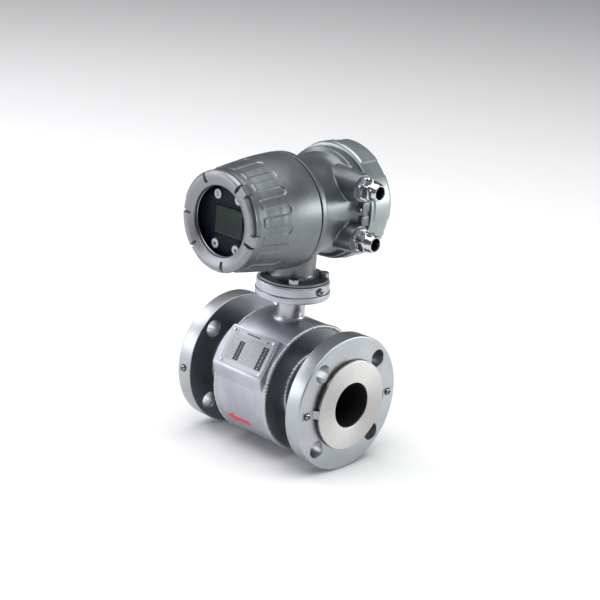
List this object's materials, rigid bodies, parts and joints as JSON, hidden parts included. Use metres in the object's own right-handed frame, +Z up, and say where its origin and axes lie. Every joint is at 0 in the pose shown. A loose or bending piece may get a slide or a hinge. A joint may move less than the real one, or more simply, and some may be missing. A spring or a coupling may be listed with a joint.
{
  "type": "electromagnetic flow meter",
  "caption": "Flanged pipe-mounted electromagnetic flow meter with a blasted steel coil housing, a slanted nameplate and a round converter head with display window, grip cover and cable glands.",
  "frame": {"origin": "middle of the pipe axis, halfway between the outer faces of the two grounding rings", "axes": "+X along the pipe towards the inlet flange, the display looks to -Y, +Z up"},
  "size_m": [0.2, 0.1975, 0.3341],
  "materials": {
    "head_paint": "satin",
    "rear_paint": "satin",
    "blasted_steel": "matte",
    "flange_steel": "satin",
    "ring_steel": "satin",
    "liner_rubber": "matte",
    "plate_metal": "satin",
    "fastener_steel": "satin",
    "nickel": "gloss",
    "seal_rubber": "matte",
    "window_glass": "gloss",
    "black_plastic": "satin",
    "screen_dark": "gloss",
    "key_white": "satin",
    "board_green": "satin",
    "coil_tape": "satin",
    "soft_iron": "matte",
    "clear_plastic": "satin"
  },
  "bodies": {
    "meter": {"inlet_flange": "flange_steel", "outlet_flange": "flange_steel", "measuring_tube": "flange_steel", "liner": "liner_rubber", "inlet_ring": "ring_steel", "outlet_ring": "ring_steel", "grounding_clips": "ring_steel", "clip_screws": "fastener_steel", "coil_housing": "blasted_steel", "inlet_end_plate": "blasted_steel", "outlet_end_plate": "blasted_steel", "upper_coil": "coil_tape", "lower_coil": "coil_tape", "upper_pole": "soft_iron", "lower_pole": "soft_iron", "magnet_yoke": "soft_iron", "rear_electrode": "ring_steel", "front_electrode": "ring_steel", "rear_insulator": "clear_plastic", "front_insulator": "clear_plastic", "electrode_nuts": "fastener_steel", "nameplate_bracket": "blasted_steel", "nameplate": "plate_metal", "rivets": "fastener_steel", "neck_pipe": "blasted_steel", "neck_flange": "blasted_steel", "adapter_ring": "head_paint", "foot_gasket": "seal_rubber", "foot_bolts": "fastener_steel", "foot_washers": "fastener_steel", "earth_screw": "fastener_steel", "rim_screw": "fastener_steel", "converter_housing": "head_paint", "electronics_case": "black_plastic", "display_board": "board_green", "power_board": "board_green", "case_posts": "fastener_steel", "display_panel": "black_plastic", "screen_module": "screen_dark", "key_switches": "black_plastic", "terminal_block": "clear_plastic", "gland_body_upper": "nickel", "gland_body_lower": "nickel", "lock_screw": "fastener_steel"},
    "front_seal_carrier": {"front_seal": "seal_rubber"},
    "front_lid": {"front_cover": "head_paint", "window_glass": "window_glass", "window_gasket": "seal_rubber", "retaining_ring": "black_plastic"},
    "rear_seal_carrier": {"rear_seal": "seal_rubber"},
    "rear_lid": {"rear_cover": "rear_paint"},
    "upper_seal_carrier": {"gland_seal_upper": "seal_rubber"},
    "upper_nut": {"gland_nut_upper": "nickel"},
    "lower_seal_carrier": {"gland_seal_lower": "seal_rubber"},
    "lower_nut": {"gland_nut_lower": "nickel"},
    "button_up_left": {"key_up_left": "key_white"},
    "button_up_right": {"key_up_right": "key_white"},
    "button_down_left": {"key_down_left": "key_white"},
    "button_down_right": {"key_down_right": "key_white"}
  },
  "joints": [
    {"name": "front_cover_travel", "type": "slide", "parent": "meter", "child": "front_seal_carrier", "axis": [0, -1, 0], "range_m": [0, 0.0101]},
    {"name": "front_cover_turn", "type": "hinge", "parent": "front_seal_carrier", "child": "front_lid", "pos_m": [0, 0, 0.1956], "axis": [0, -1, 0], "range_deg": [0, 1800]},
    {"name": "rear_cover_travel", "type": "slide", "parent": "meter", "child": "rear_seal_carrier", "axis": [0, 1, 0], "range_m": [0, 0.0101]},
    {"name": "rear_cover_turn", "type": "hinge", "parent": "rear_seal_carrier", "child": "rear_lid", "pos_m": [0, 0, 0.1956], "axis": [0, 1, 0], "range_deg": [0, 1800]},
    {"name": "upper_gland_travel", "type": "slide", "parent": "meter", "child": "upper_seal_carrier", "axis": [1, 0, 0], "range_m": [0, 0.00606]},
    {"name": "upper_gland_turn", "type": "hinge", "parent": "upper_seal_carrier", "child": "upper_nut", "pos_m": [0.08, 0.029, 0.2266], "axis": [1, 0, 0], "range_deg": [0, 1440]},
    {"name": "lower_gland_travel", "type": "slide", "parent": "meter", "child": "lower_seal_carrier", "axis": [1, 0, 0], "range_m": [0, 0.00606]},
    {"name": "lower_gland_turn", "type": "hinge", "parent": "lower_seal_carrier", "child": "lower_nut", "pos_m": [0.08, 0.029, 0.1706], "axis": [1, 0, 0], "range_deg": [0, 1440]},
    {"name": "key_up_left_press", "type": "slide", "parent": "meter", "child": "button_up_left", "axis": [0, 1, 0], "range_m": [0, 0.0008], "stiffness_N_per_m": 300, "springref_m": -0.003},
    {"name": "key_up_right_press", "type": "slide", "parent": "meter", "child": "button_up_right", "axis": [0, 1, 0], "range_m": [0, 0.0008], "stiffness_N_per_m": 300, "springref_m": -0.003},
    {"name": "key_down_left_press", "type": "slide", "parent": "meter", "child": "button_down_left", "axis": [0, 1, 0], "range_m": [0, 0.0008], "stiffness_N_per_m": 300, "springref_m": -0.003},
    {"name": "key_down_right_press", "type": "slide", "parent": "meter", "child": "button_down_right", "axis": [0, 1, 0], "range_m": [0, 0.0008], "stiffness_N_per_m": 300, "springref_m": -0.003}
  ],
  "couplings": [
    {"joint": "front_cover_travel", "follows": "front_cover_turn", "m_per_rad": 0.00031831},
    {"joint": "rear_cover_travel", "follows": "rear_cover_turn", "m_per_rad": 0.00031831},
    {"joint": "upper_gland_travel", "follows": "upper_gland_turn", "m_per_rad": 0.00023873},
    {"joint": "lower_gland_travel", "follows": "lower_gland_turn", "m_per_rad": 0.00023873}
  ]
}
